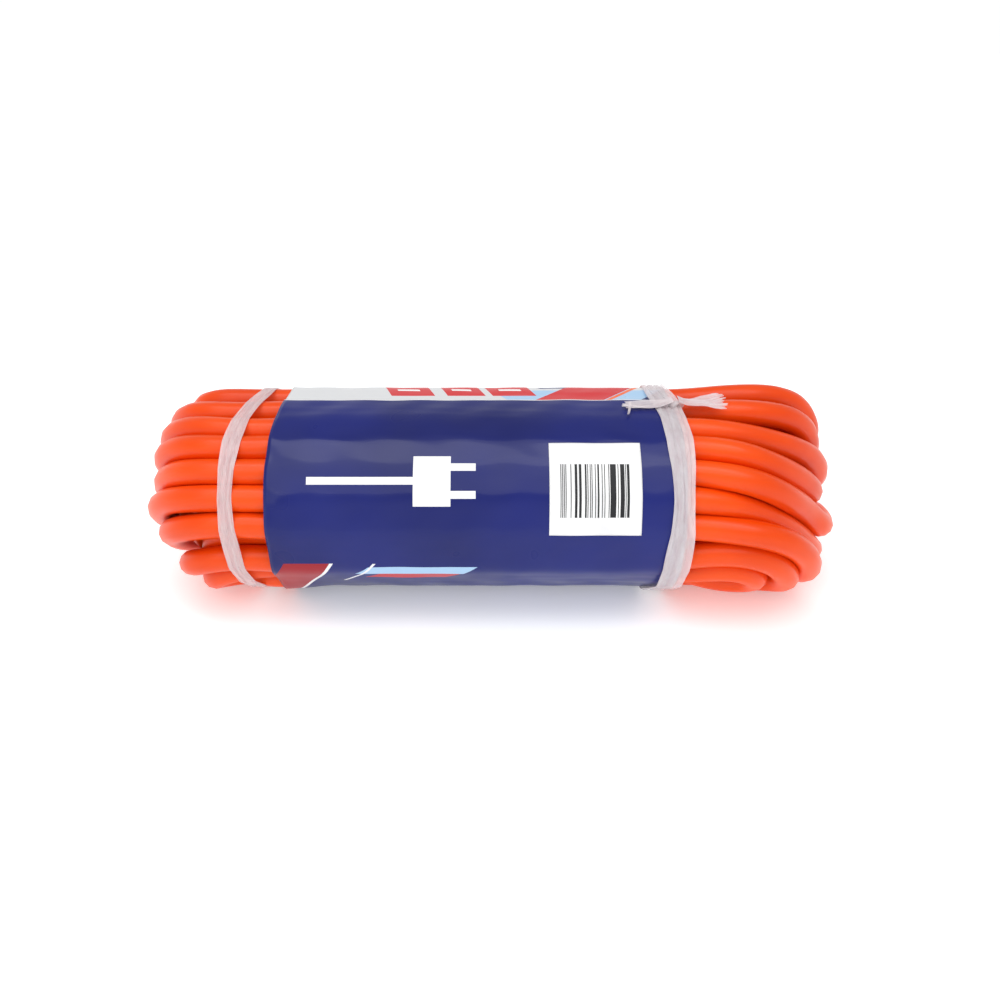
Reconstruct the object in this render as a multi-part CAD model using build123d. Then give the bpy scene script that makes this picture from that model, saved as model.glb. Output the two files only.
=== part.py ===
from build123d import *
from math import acos, atan2, cos, hypot, pi, radians, sin, sqrt, tan
import os

# Extension cord, 3 conductors of 14 AWG, tied in a hank. Millimetres, +Z up, +X along the hank.
# The hank lies on a surface at Z = 0; its plug and connector lie behind it, at +Y.

# ---- cord ----
cord_d = 9.0                # jacket diameter
core_d = 3.5                # insulated core
wire_d = 1.9                # stranded copper in it

# ---- hank: a flat-sided round bundle, drawn in where it is tied ----
hank_length = 246.0
tied_radius = 32.4          # round front and back of the bundle between the ties
bundle_flat = 16.0          # flat stretch between those two rounds
left_end_radius = 33.4      # the same rounds where the loops spread past the left tie
right_end_radius = 36.0     # and past the right tie
end_rounding = 24.0         # how far the ends are rounded over
left_spread_x = (-98.0, -91.0)    # where the left loops start to spread
right_spread_x = (67.0, 84.0)     # where the right loops do

# ---- sleeve and sticker ----
paper_fit = 0.15            # air between the layers wrapped round the bundle
sleeve_thickness = 0.35
sleeve_x = (-73.5, 61.5)
lap_y = (-20.0, 3.0)        # the glued lap over the top, from the bundle's axis
sticker_thickness = 0.15
glue_thickness = 0.05
sticker_x = (17.5, 47.0)
sticker_angles = (9.0, 62.0)      # lower and upper edge, measured up from the front

# ---- ties ----
tie_thickness = 0.35
left_tie_x = -86.0
left_tie_width = 5.5
right_tie_x = 60.5
right_tie_width = 8.5
knot_size = (8.0, 7.0, 4.4)
knot_edge = 1.3             # rounding of the knot's edges
tail_root = 2.0             # where each loose end leaves the knot, from its middle
left_knot_angle = 62.0      # how far the left knot lies round to the back of the top
tail_thickness = 0.4
tail_lift = 0.5             # air under a loose end
right_tails = ((-21.0, 3.5, 5.5), (17.5, 4.5, 9.0))    # each: reach, width at its root and its end
left_tails = ((-15.0, 3.0, 5.0), (11.5, 3.0, 4.5))

# ---- plug and connector, NEMA 5-15 ----
blade_spacing = 12.7        # between the two flat blades
blade_width = 6.35
blade_thickness = 1.52
blade_reach = 17.5          # what stands out of the face
ground_drop = 11.9          # ground pin from the line through the blades
ground_pin_d = 4.75
ground_reach = 20.5
head_width = 27.0           # the moulded head: flat underneath, round on top
head_height = 25.0
plug_head_length = 32.0
connector_head_length = 35.0
head_shoulder = 11.0        # the part of the head that tapers to the strain relief
head_corner = 3.0
relief_length = 20.0
relief_root_d = 15.0
relief_tip_d = 12.0
relief_grooves = 5
relief_groove_width = 1.6
relief_groove_d = 11.2      # across the bottom of each groove
grip_grooves = 4
grip_margin = (6.0, 2.0)    # left plain before the first groove and after the last
grip_size = (1.4, 0.8, 11.0)      # a groove's width, depth and height
grip_height = -2.5          # its middle, from the cord's axis
blade_height = -5.0         # the line through the blades, from the cord's axis
bridge_size = (5.0, 21.0, 21.3)
bridge_top_radius = 9.0
bridge_corner = 2.0
bridge_margin = 2.2         # from the blades' lower edges down to the bridge's bottom
blade_tail = 13.0           # blade behind the face, to its crimp
ground_shank_d = 4.0        # the ground pin behind the face
crimp_d = 3.4
crimp_length = 6.0
core_start = 20.5           # from the face back to where each core's insulation starts
jacket_start = 36.0         # from the face back to where the cord's jacket starts
core_twist_radius = 2.1     # the three cores' centres in the cord
core_bend = 5.0             # how tightly a core turns towards its crimp
core_straight = 0.22        # the share of each core's run that is straight at each end

insert_depth = 19.5
insert_wall = 3.2
slot_clearance = 0.35       # round a blade in its slot
ground_socket_r = 2.6
cavity_size = (13.0, 3.6, 7.6)
ground_cavity_r = 3.35
crimp_fit = 0.1
contact_sheet = 0.5
contact_setback = 0.5       # a contact's mouth from the inside of the insert's face
contact_split = 0.8         # the slit that lets the ground contact spring
contact_length = 11.0
contact_width = 6.0
contact_gap = 1.2           # between a contact's leaves, which a blade springs open
ground_contact_r = (2.35, 2.95)

# ---- where the heads and leads lie ----
rest_gap = 0.5              # air between a head or lead and what it leans on
lead_fit = 0.15             # air between a tied lead or head and the ribbon round it
plug_face_x = 82.0          # the plug points along +X, and the connector along -X
connector_face_x = -80.5

# ---- derived places ----
half_flat = bundle_flat / 2
sleeve_inner = tied_radius + paper_fit
sleeve_outer = sleeve_inner + sleeve_thickness
lap_outer = sleeve_outer + sleeve_thickness
right_tie_inner = lap_outer + paper_fit
left_tie_inner = tied_radius + paper_fit
axis_z = right_tie_inner + tie_thickness

# Each lead runs past the other head in the wedge under the bundle's overhang, above the ribbon.
wedge_z = tie_thickness + lead_fit + cord_d / 2
wedge_reach = sleeve_outer + rest_gap + cord_d / 2
wedge_dy = half_flat + sqrt(wedge_reach**2 - (axis_z - wedge_z) ** 2)
head_dy = wedge_dy + cord_d / 2 + rest_gap + head_width / 2
head_bottom = tie_thickness + lead_fit
cord_z = head_bottom + head_height / 2
arch_z = head_bottom + head_height - head_width / 2
front_reach = half_flat + right_end_radius
back_reach = head_dy + head_width / 2
axis_y = (front_reach - back_reach) / 2
head_y = axis_y + head_dy

# Each lead's route: x, then how far it has gone from the head's axis (0) in to the wedge (1), and
# how far down from one to the other. The two cross behind the bundle, the plug's underneath, and
# end inside the loops, as the outer turn of each end.
plug_lead_points = [
    (21.0, 0.0, 0.0), (4.0, 0.2, 0.8), (-14.0, 0.55, 1.0), (-33.0, 0.88, 1.0), (-52.0, 1.0, 1.0),
    (-71.0, 0.985, 1.0), (-93.0, 1.0, 1.0), (-114.0, 1.7, 0.0),
]
connector_lead_points = [
    (-17.5, 0.0, 0.0), (-1.0, 0.1, -0.7), (16.0, 0.38, -0.7), (35.0, 0.82, 0.7), (53.0, 1.0, 1.0),
    (72.0, 0.985, 1.0), (94.0, 1.0, 1.0), (115.0, 1.75, 0.0),
]


def save(name, solid):
    export_step(solid, os.path.join("parts", name + ".step"))


# ---- outlines across the bundle ----
def bundle_section(x, radius, centre_z):
    section_plane = Plane(origin=(x, axis_y, centre_z), x_dir=(0, 1, 0), z_dir=(1, 0, 0))
    return section_plane * SlotOverall(bundle_flat + 2 * radius, 2 * radius)


def bundle_shell(x_start, x_end, inner, outer):
    ring = bundle_section(x_start, outer, axis_z) - bundle_section(x_start, inner, axis_z)
    return extrude(ring, amount=x_end - x_start, dir=(1, 0, 0))


def tangent_angle(circle, following):
    """Direction from a circle's centre to where the line to the following circle leaves it."""
    (y, z, r), (next_y, next_z, next_r) = circle, following
    run = hypot(next_y - y, next_z - z)
    return atan2(next_z - z, next_y - y) - acos((r - next_r) / run)


def belt_face(x, circles, grow):
    """The outline of a band pulled tight round circles listed anticlockwise, seen from +X."""
    grown = [(y, z, r + grow) for y, z, r in circles]
    edges = []
    for i, (y, z, r) in enumerate(grown):
        arriving = tangent_angle(grown[i - 1], (y, z, r))
        following = grown[(i + 1) % len(grown)]
        leaving = tangent_angle((y, z, r), following)
        while leaving < arriving:
            leaving += 2 * pi
        arc_points = []
        for angle in (arriving, (arriving + leaving) / 2, leaving):
            arc_points.append((x, y + r * cos(angle), z + r * sin(angle)))
        edges.append(ThreePointArc(*arc_points))
        next_y, next_z, next_r = following
        next_start = (x, next_y + next_r * cos(leaving), next_z + next_r * sin(leaving))
        edges.append(Line(arc_points[2], next_start))
    return make_face(Wire(edges))


# ---- the hank ----
def make_hank():
    """The outer shape of all the turns."""
    left_z = left_end_radius
    right_z = right_end_radius
    stations = [
        (-hank_length / 2, left_end_radius, left_z),
        (left_spread_x[0], left_end_radius, left_z),
        (left_spread_x[1], tied_radius, axis_z),
        (right_spread_x[0], tied_radius, axis_z),
        (right_spread_x[1], right_end_radius, right_z),
        (hank_length / 2, right_end_radius, right_z),
    ]
    sections = [bundle_section(*station) for station in stations]
    body = loft(sections, ruled=True)
    ends = body.faces().sort_by(Axis.X)
    return fillet(ends[0].edges() + ends[-1].edges(), end_rounding)


def make_sleeve():
    """One printed sheet round the bundle, its outer end lapped over its inner end on top."""
    ring = bundle_shell(*sleeve_x, sleeve_inner, sleeve_outer)
    lap_width = lap_y[1] - lap_y[0]
    lap_place = ((sleeve_x[0] + sleeve_x[1]) / 2, axis_y + sum(lap_y) / 2, axis_z + lap_outer / 2)
    lap_region = Pos(*lap_place) * Box(sleeve_x[1] - sleeve_x[0], lap_width, lap_outer)
    lap = bundle_shell(*sleeve_x, sleeve_outer, lap_outer) & lap_region
    return ring + lap


def make_sticker():
    """A sheet on the sleeve's round front, between two angles measured up from the front."""
    inner = sleeve_outer + glue_thickness
    outer = inner + sticker_thickness
    low, high = sticker_angles

    def at(radius, angle):
        turned = radians(angle)
        return (sticker_x[0], axis_y - half_flat - radius * cos(turned), axis_z + radius * sin(turned))

    middle = (low + high) / 2
    outline = [
        ThreePointArc(at(outer, low), at(outer, middle), at(outer, high)),
        Line(at(outer, high), at(inner, high)),
        ThreePointArc(at(inner, high), at(inner, middle), at(inner, low)),
        Line(at(inner, low), at(outer, low)),
    ]
    return extrude(make_face(Wire(outline)), amount=sticker_x[1] - sticker_x[0], dir=(1, 0, 0))


# ---- leads ----
def lead_route(jacket_x, points):
    """From the jacket's end in the head, through the strain relief, to inside the loops."""
    inset = head_dy - wedge_dy
    descent = cord_z - wedge_z
    route = [(jacket_x, head_y, cord_z)]
    for x, inward, down in points:
        route.append((x, head_y - inward * inset, cord_z - down * descent))
    return route


def bend_radii(route):
    """As large an arc at each corner as its two runs allow."""
    radii = []
    for before, corner, after in zip(route, route[1:], route[2:]):
        arriving = Vector(corner) - Vector(before)
        leaving = Vector(after) - Vector(corner)
        half_turn = radians(arriving.get_angle(leaving)) / 2
        radii.append(0.45 * min(arriving.length, leaving.length) / tan(half_turn))
    return radii


def make_lead(name, route):
    radii = bend_radii(route)
    path = FilletPolyline(*route, radius=radii)
    start = Plane(origin=route[0], x_dir=(0, 1, 0), z_dir=(route[1][0] - route[0][0], 0, 0))
    solid = sweep(start * Circle(cord_d / 2), path=path)
    swept = pi * (cord_d / 2) ** 2 * path.length
    print(name, "radii", [round(r, 1) for r in radii], "length", round(path.length, 1))
    print(name, "volume", round(solid.volume, 1), "section times length", round(swept, 1))
    return solid


# ---- ties ----
def tie_band(x, width, circles):
    """A flat ribbon pulled tight round circles listed anticlockwise, seen from +X."""
    start = x - width / 2
    band = belt_face(start, circles, tie_thickness) - belt_face(start, circles, 0)
    return extrude(band, amount=width, dir=(1, 0, 0))


def tail_strip(reach, start_width, end_width, start_z, end_z):
    """A flat loose end of ribbon, widening from the knot out to its reach."""
    start_x = tail_root if reach > 0 else -tail_root
    rise = atan2(end_z - start_z, reach - start_x)
    ends = []
    for x, z, width in ((start_x, start_z, start_width), (reach, end_z, end_width)):
        across = Plane(origin=(x, 0, z), x_dir=(0, 1, 0), z_dir=(cos(rise), 0, sin(rise)))
        ends.append(across * Rectangle(width, tail_thickness))
    return loft(ends, ruled=True)


def knot_block(seat):
    """The knot's lump, pressed flat on the band whose outer face is at height seat."""
    length, width, height = knot_size
    lump = Box(length, width, height, align=(Align.CENTER, Align.CENTER, Align.MIN))
    lump = fillet(lump.edges(), knot_edge)
    return Pos(0, 0, seat - tie_thickness / 2) * lump


def make_right_tie():
    """Round the sleeve and the plug's head, knotted on top, its ends over the sleeve and the loops."""
    seat = right_tie_inner + tie_thickness
    rise = tail_lift + tail_thickness
    over_sleeve = lap_outer + rise
    over_loops = 2 * right_end_radius - axis_z + rise
    left_tail = tail_strip(*right_tails[0], seat + rise, over_sleeve)
    right_tail = tail_strip(*right_tails[1], seat + rise, over_loops)
    knot = knot_block(seat) + left_tail + right_tail
    corner_y = head_y + head_width / 2 - head_corner
    band = tie_band(right_tie_x, right_tie_width, [
        (axis_y - half_flat, axis_z, right_tie_inner),
        (corner_y, head_bottom + head_corner, head_corner + lead_fit),
        (head_y, arch_z, head_width / 2 + lead_fit),
        (axis_y + half_flat, axis_z, right_tie_inner),
    ])
    return band + Pos(right_tie_x, axis_y, axis_z) * knot


def make_left_tie():
    """Round the bare cord and the plug's lead, knotted at the back, with two short ends."""
    seat = left_tie_inner + tie_thickness
    start_z = seat + tail_lift + tail_thickness
    over_loops = 2 * left_end_radius - axis_z + 2 * tail_lift + tail_thickness
    left_tail = tail_strip(*left_tails[0], start_z, over_loops)
    right_tail = tail_strip(*left_tails[1], start_z, start_z + tail_lift)
    knot = Rot(-left_knot_angle, 0, 0) * (knot_block(seat) + left_tail + right_tail)
    band = tie_band(left_tie_x, left_tie_width, [
        (axis_y - half_flat, axis_z, left_tie_inner),
        (axis_y + wedge_dy, wedge_z, cord_d / 2 + lead_fit),
        (axis_y + half_flat, axis_z, left_tie_inner),
    ])
    return band + Pos(left_tie_x, axis_y + half_flat, axis_z) * knot


# ---- plug and connector, made with the face at X = 0, the cord along -X and the flat side down ----
def head_outline(x, grow=0.0):
    half = head_width / 2 + grow
    bottom = -head_height / 2 - grow
    shoulder = arch_z - cord_z
    outline = [
        Line((-half, shoulder), (-half, bottom)),
        Line((-half, bottom), (half, bottom)),
        Line((half, bottom), (half, shoulder)),
        ThreePointArc((half, shoulder), (0, shoulder + half), (-half, shoulder)),
    ]
    face = make_face(Wire(outline))
    face = fillet(face.vertices().group_by(Axis.Y)[0], head_corner + grow)
    return Plane(origin=(x, 0, 0), x_dir=(0, 1, 0), z_dir=(1, 0, 0)) * face


def round_outline(x, diameter, y=0.0, z=0.0):
    return Plane(origin=(x, y, z), x_dir=(0, 1, 0), z_dir=(1, 0, 0)) * Circle(diameter / 2)


def rod(x_start, x_end, diameter, y=0.0, z=0.0):
    return extrude(round_outline(x_start, diameter, y, z), amount=x_end - x_start, dir=(1, 0, 0))


def block(x_start, x_end, width, height, y=0.0, z=0.0):
    middle = Pos((x_start + x_end) / 2, y, z)
    return middle * Box(x_end - x_start, width, height)


def moulded_head(length):
    """The solid outside of a head: its gripped front, its shoulder and its ribbed strain relief."""
    front_length = length - head_shoulder
    front = extrude(head_outline(-front_length), amount=front_length, dir=(1, 0, 0))
    shoulder = loft([round_outline(-length, relief_root_d), head_outline(-front_length)])
    relief = loft([
        round_outline(-length - relief_length, relief_tip_d),
        round_outline(-length, relief_root_d),
    ])
    pitch = relief_length / (relief_grooves + 1)
    for i in range(relief_grooves):
        x = -length - pitch * (i + 1)
        collar = rod(x, x + relief_groove_width, relief_root_d + 1)
        relief -= collar - rod(x, x + relief_groove_width, relief_groove_d)
    groove_width, groove_depth, groove_height = grip_size
    grip_pitch = (front_length - sum(grip_margin)) / grip_grooves
    for i in range(grip_grooves):
        x = -grip_margin[0] - grip_pitch * (i + 0.5)
        for side in (-1, 1):
            front -= block(
                x - groove_width, x, 2 * groove_depth, groove_height, side * head_width / 2, grip_height
            )
    return front + shoulder + relief


def bridge_outline(x, width, height):
    """An arch like the head's, smaller, for the stiff part that carries the metal."""
    half = width / 2
    bottom = blade_height - blade_width / 2 - bridge_margin
    top = bottom + height
    outline = Polyline((-half, bottom), (half, bottom), (half, top), (-half, top), close=True)
    face = make_face(outline)
    low = fillet(face.vertices().group_by(Axis.Y)[0], bridge_corner)
    arch = fillet(low.vertices().group_by(Axis.Y)[-1], bridge_top_radius)
    return Plane(origin=(x, 0, 0), x_dir=(0, 1, 0), z_dir=(1, 0, 0)) * arch


# The line blade is on the right of a plug seen from its front with its ground pin up, and on the
# left of a connector.
line_sides = {"plug": 1, "connector": -1}
poles = ("line", "neutral", "ground")


def pole_place(head, pole):
    """Across and up from the cord's axis."""
    if pole == "ground":
        return 0.0, blade_height + ground_drop
    side = line_sides[head] if pole == "line" else -line_sides[head]
    return side * blade_spacing / 2, blade_height


def core_place(head, pole):
    """Where the pole's core lies in the cord."""
    if pole == "ground":
        return 0.0, core_twist_radius
    side = line_sides[head] if pole == "line" else -line_sides[head]
    return side * core_twist_radius * cos(pi / 6), -core_twist_radius * sin(pi / 6)


def core_route(head, pole):
    """From the core's place in the cord to its crimp."""
    y, z = pole_place(head, pole)
    end_y, end_z = core_place(head, pole)
    bend = (jacket_start - core_start) * core_straight
    return [
        (-jacket_start, end_y, end_z),
        (-jacket_start + bend, end_y, end_z),
        (-core_start - bend, y, z),
        (-core_start, y, z),
    ]


def core_and_wire(head, pole):
    """The insulation, and the copper that runs on through it into the crimp."""
    route = core_route(head, pole)
    path = FilletPolyline(*route, radius=core_bend)
    start = Plane(origin=route[0], x_dir=(0, 1, 0), z_dir=(1, 0, 0))
    core = sweep(start * (Circle(core_d / 2) - Circle(wire_d / 2)), path=path)
    wire = sweep(start * Circle(wire_d / 2), path=path)
    wire += rod(-core_start, -blade_tail - crimp_length / 2, wire_d, *pole_place(head, pole))
    return core, wire


def crimp(start, y, z):
    """A barrel behind a blade or contact, open to its wire for half its length."""
    barrel = rod(-blade_tail - crimp_length, start, crimp_d, y, z)
    return barrel - rod(-blade_tail - crimp_length, -blade_tail - crimp_length / 2, wire_d, y, z)


def make_blade(pole):
    y, z = pole_place("plug", pole)
    blade = block(-blade_tail, blade_reach, blade_thickness, blade_width, y, z)
    tip = blade.faces().sort_by(Axis.X)[-1]
    return chamfer(tip.edges(), blade_thickness / 3) + crimp(-blade_tail, y, z)


def make_ground_pin():
    y, z = pole_place("plug", "ground")
    pin = rod(0, ground_reach, ground_pin_d, y, z)
    tip = pin.faces().sort_by(Axis.X)[-1]
    pin = fillet(tip.edges(), ground_pin_d * 0.4)
    return pin + rod(-blade_tail, 0, ground_shank_d, y, z) + crimp(-blade_tail, y, z)


def head_pieces(head):
    """The cores and wires, laid out the same way in both heads."""
    pieces = {}
    for pole in poles:
        core, wire = core_and_wire(head, pole)
        pieces[f"{head}_{pole}_core"] = core
        pieces[f"{head}_{pole}_wire"] = wire
    return pieces


def hollowed(head, length, pieces):
    """The head moulded round what is in it, and round the end of the cord."""
    head -= rod(-length - relief_length, -jacket_start, cord_d)
    for piece in pieces.values():
        head -= piece
    return head


def make_plug():
    pieces = head_pieces("plug")
    pieces["plug_line_blade"] = make_blade("line")
    pieces["plug_neutral_blade"] = make_blade("neutral")
    pieces["plug_ground_pin"] = make_ground_pin()
    depth, width, height = bridge_size
    bridge = extrude(bridge_outline(-depth, width, height), amount=depth, dir=(1, 0, 0))
    for name in ("plug_line_blade", "plug_neutral_blade", "plug_ground_pin"):
        bridge -= pieces[name]
    pieces["plug_bridge"] = bridge
    pieces["plug_body"] = hollowed(moulded_head(plug_head_length), plug_head_length, pieces)
    return pieces


def make_flat_contact(pole):
    """A strip folded to two leaves that pinch a blade, with its crimp behind."""
    y, z = pole_place("connector", pole)
    mouth = -insert_wall - contact_setback
    back = mouth - contact_length
    spread = contact_gap / 2 + contact_sheet / 2
    contact = block(back, back + contact_sheet, contact_gap + 2 * contact_sheet, contact_width, y, z)
    for side in (-1, 1):
        contact += block(back, mouth, contact_sheet, contact_width, y + side * spread, z)
    return contact + crimp(back, y, z)


def make_ground_contact():
    """A split sleeve that grips the ground pin, with its crimp behind."""
    y, z = pole_place("connector", "ground")
    inner, outer = ground_contact_r
    mouth = -insert_wall - contact_setback
    back = mouth - contact_length
    sleeve = rod(back, mouth, 2 * outer, y, z) - rod(back + contact_sheet, mouth, 2 * inner, y, z)
    sleeve -= block(back + 2 * contact_sheet, mouth, contact_split, outer + 1, y, z + (outer + 1) / 2)
    return sleeve + crimp(back, y, z)


def make_insert():
    """The stiff face with its slots, and the cavities behind that hold the contacts."""
    width, height = bridge_size[1:]
    insert = extrude(bridge_outline(-insert_depth, width, height), amount=insert_depth, dir=(1, 0, 0))
    length, cavity_width, cavity_height = cavity_size
    back = -insert_wall - length
    slot_width = blade_thickness + 2 * slot_clearance
    slot_height = blade_width + 2 * slot_clearance
    for pole in poles:
        y, z = pole_place("connector", pole)
        if pole == "ground":
            insert -= rod(-insert_wall - 1, 1, 2 * ground_socket_r, y, z)
            insert -= rod(back, -insert_wall, 2 * ground_cavity_r, y, z)
        else:
            insert -= block(-insert_wall - 1, 1, slot_width, slot_height, y, z)
            insert -= block(back, -insert_wall, cavity_width, cavity_height, y, z)
        insert -= rod(-insert_depth - 1, back + 1, crimp_d + crimp_fit, y, z)
    return insert


def make_connector():
    pieces = head_pieces("connector")
    for pole in ("line", "neutral"):
        pieces[f"connector_{pole}_contact"] = make_flat_contact(pole)
    pieces["connector_ground_contact"] = make_ground_contact()
    body = moulded_head(connector_head_length)
    width, height = bridge_size[1:]
    seat = extrude(bridge_outline(-insert_depth, width, height), amount=insert_depth, dir=(1, 0, 0))
    body = hollowed(body - seat, connector_head_length, pieces)
    pieces["connector_insert"] = make_insert()
    pieces["connector_body"] = body
    return pieces


def main():
    os.makedirs("parts", exist_ok=True)
    plug_route = lead_route(plug_face_x - jacket_start, plug_lead_points)
    connector_route = lead_route(connector_face_x + jacket_start, connector_lead_points)
    pieces = {
        "cord_hank": make_hank(),
        "label_sleeve": make_sleeve(),
        "barcode_sticker": make_sticker(),
        "left_tie": make_left_tie(),
        "right_tie": make_right_tie(),
        "plug_lead": make_lead("plug_lead", plug_route),
        "connector_lead": make_lead("connector_lead", connector_route),
    }
    for name, piece in make_plug().items():
        pieces[name] = Pos(plug_face_x, head_y, cord_z) * piece
    for name, piece in make_connector().items():
        pieces[name] = Pos(connector_face_x, head_y, cord_z) * Rot(0, 0, 180) * piece
    for name, piece in pieces.items():
        save(name, piece)


main()
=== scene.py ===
"""The looks of an extension cord wound in long turns and tied as a hank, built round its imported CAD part.

Lengths in this file are millimetres unless a property says otherwise, and become metres as each
piece is made. A place in the bundle is (x, v, u): along the bundle, back from its axis, up from it.
"""

from math import cos, pi, radians, sin, sqrt

import bpy
import numpy as np
from bpy.props import FloatProperty, FloatVectorProperty, IntProperty, PointerProperty
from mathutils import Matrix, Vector


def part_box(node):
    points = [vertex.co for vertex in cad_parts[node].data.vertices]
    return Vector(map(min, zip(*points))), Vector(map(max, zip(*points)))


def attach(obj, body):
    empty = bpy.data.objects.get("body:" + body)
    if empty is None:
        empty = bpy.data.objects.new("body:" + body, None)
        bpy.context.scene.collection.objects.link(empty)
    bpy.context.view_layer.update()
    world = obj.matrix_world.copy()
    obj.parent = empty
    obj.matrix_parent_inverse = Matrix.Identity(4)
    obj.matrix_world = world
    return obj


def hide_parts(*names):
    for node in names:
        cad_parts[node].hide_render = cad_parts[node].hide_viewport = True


bl_info = {
    "name": "Tied extension cord",
    "version": (1, 0, 0),
    "blender": (4, 5, 0),
    "location": "View3D > Sidebar > Tied cord",
    "description": "Builds the looks of an extension cord tied in a hank",
    "category": "Add Mesh",
}

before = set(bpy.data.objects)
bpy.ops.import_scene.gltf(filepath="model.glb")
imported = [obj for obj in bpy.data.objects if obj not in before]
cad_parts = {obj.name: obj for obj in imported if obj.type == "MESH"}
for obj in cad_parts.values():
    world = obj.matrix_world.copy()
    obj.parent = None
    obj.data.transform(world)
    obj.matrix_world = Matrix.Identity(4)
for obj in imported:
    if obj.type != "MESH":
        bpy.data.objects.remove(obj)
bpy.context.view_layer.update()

BODY = "tied_cord"
MM = 0.001

# ---- places and sizes that the CAD part fixes ----
HALF_FLAT = 8.0             # flat stretch either side of the bundle's axis


def cad_box_mm(node):
    """A CAD node's lowest and highest corners."""
    low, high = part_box(node)
    return np.array(low) / MM, np.array(high) / MM


hank_low, hank_high = cad_box_mm("cord_hank")
sleeve_low, sleeve_high = cad_box_mm("label_sleeve")
sticker_low, sticker_high = cad_box_mm("barcode_sticker")
plug_low, plug_high = cad_box_mm("plug_body")
connector_low = cad_box_mm("connector_body")[0]

AXIS_Y = (hank_low[1] + hank_high[1]) / 2
SLEEVE_RADIUS = (sleeve_high[1] - sleeve_low[1]) / 2 - HALF_FLAT
AXIS_Z = sleeve_low[2] + SLEEVE_RADIUS
TIED_RADIUS = 32.4          # of the bundle's outline beside its flat, between the ties
LEFT_RADIUS = 33.4          # the same at the left end
RIGHT_RADIUS = hank_high[2] / 2     # and at the right end
END_ROUNDING = 24.0         # of the outline where it closes at both ends
LEFT_SPREAD = (-91.0, -98.0)    # between these two x the tied outline becomes the end's
RIGHT_SPREAD = (67.0, 84.0)
HEAD_V = (plug_low[1] + plug_high[1]) / 2 - AXIS_Y      # the heads' axis lies behind the bundle's,
HEAD_U = (plug_low[2] + plug_high[2]) / 2 - AXIS_Z      # and below it
HEAD_HALF = (plug_high[1] - plug_low[1]) / 2
HEAD_CORNER = 3.0           # rounding along a head's foot
JACKET_START = 36.0         # from each head's face back to where the jacket starts
WEDGE_GAP = 0.5             # air between a lead and what it leans on
WEDGE_Z = 5.0               # a lead's axis above the ground, behind the bundle

# Each lead's route: x, then how far it has gone from the head's axis (0) in to the wedge under the
# bundle's overhang (1), and how far down from one to the other.
PLUG_LEAD = (
    (21.0, 0.0, 0.0), (4.0, 0.2, 0.8), (-14.0, 0.55, 1.0), (-33.0, 0.88, 1.0), (-52.0, 1.0, 1.0),
    (-71.0, 0.985, 1.0),
)
CONNECTOR_LEAD = (
    (-17.5, 0.0, 0.0), (-1.0, 0.1, -0.7), (16.0, 0.38, -0.7), (35.0, 0.82, 0.7), (53.0, 1.0, 1.0),
    (70.0, 0.985, 1.0),
)

# ---- how the turns lie ----
ROWS = 8
# The order in which the turns were wound, each as its row from the bottom and its level from outside.
TURNS = (
    (3, 0), (2, 0), (1, 0), (0, 0), (0, 1), (1, 1), (2, 1), (3, 1), (3, 2), (2, 2), (1, 2), (2, 3), (3, 3),
    (4, 3), (5, 3), (6, 2), (5, 2), (4, 2), (4, 1), (5, 1), (6, 1), (7, 1), (7, 0), (6, 0), (5, 0), (4, 0),
)
# For each row from the bottom:
LEFT_TIPS = (103.0, 109.0, 117.5, 118.5, 118.5, 118.5, 117.5, 114.0)    # how far its turns reach
RIGHT_TIPS = (102.0, 106.0, 110.0, 114.0, 117.0, 118.5, 118.5, 118.0)
RIGHT_SAGS = (2.0, 9.0, 11.0, 10.5, 9.0, 6.5, 2.5, 0.5)     # how far they sag past the right tie
RIGHT_DROPS = (2.0, 5.0, 12.0, 15.0, 13.0, 10.0, 8.0, 15.0)     # how far their far side slides down too
RIGHT_SPREADS = (5.0, 7.5, 2.5, 7.5, 7.5, 3.5, 6.0, 5.0)    # how much they spread on each side
LEFT_WIDENING = 3.0         # how much every turn spreads past the left tie
# Where the turns start to do each of these, counted from the middle, and over what length they do it.
SAGGING = (58.0, 42.0)
SLIDING = (58.0, 50.0)
SPREADING = (60.0, 24.0)
WIDENING = (86.0, 14.0)
RUN_SWAY = 0.8              # how far a run may bow out of its place
LEFT_UNEVENNESS = 2.0       # how much shorter an inner fold may be
RIGHT_UNEVENNESS = 2.5
RUN_POINTS = 60             # points that draw a run, and a fold, before they are spaced evenly
FOLD_POINTS = 40

# ---- how the turns settle ----
SEARCH_EVERY = 10           # steps from one search for close turns to the next
SEARCH_REACH = 1.25         # what is close, in diameters
NEIGHBOURS = 4              # points fewer than this apart along the line don't press on each other
LEAD_SLACK = 12             # points next to each lead that may leave the bundle's outline
MOST_PRESSES = 4.0          # that add up on one point; with more, each counts less
# How much of what is wrong each step puts right.
PRESSING = 0.55             # turns that are in each other
STRAIGHTENING = 0.8         # bends
UNFOLDING = 0.3             # folds that are too narrow
SPACING = 0.7               # points too near or too far along the line
HOMING = 0.01               # points away from where they were wound
# The cord is too stiff to fold flat: this many points either side of one, and how many diameters
# apart they keep at least.
FOLD_WIDTHS = ((2, 1.75), (3, 2.15), (4, 2.2))

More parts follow.
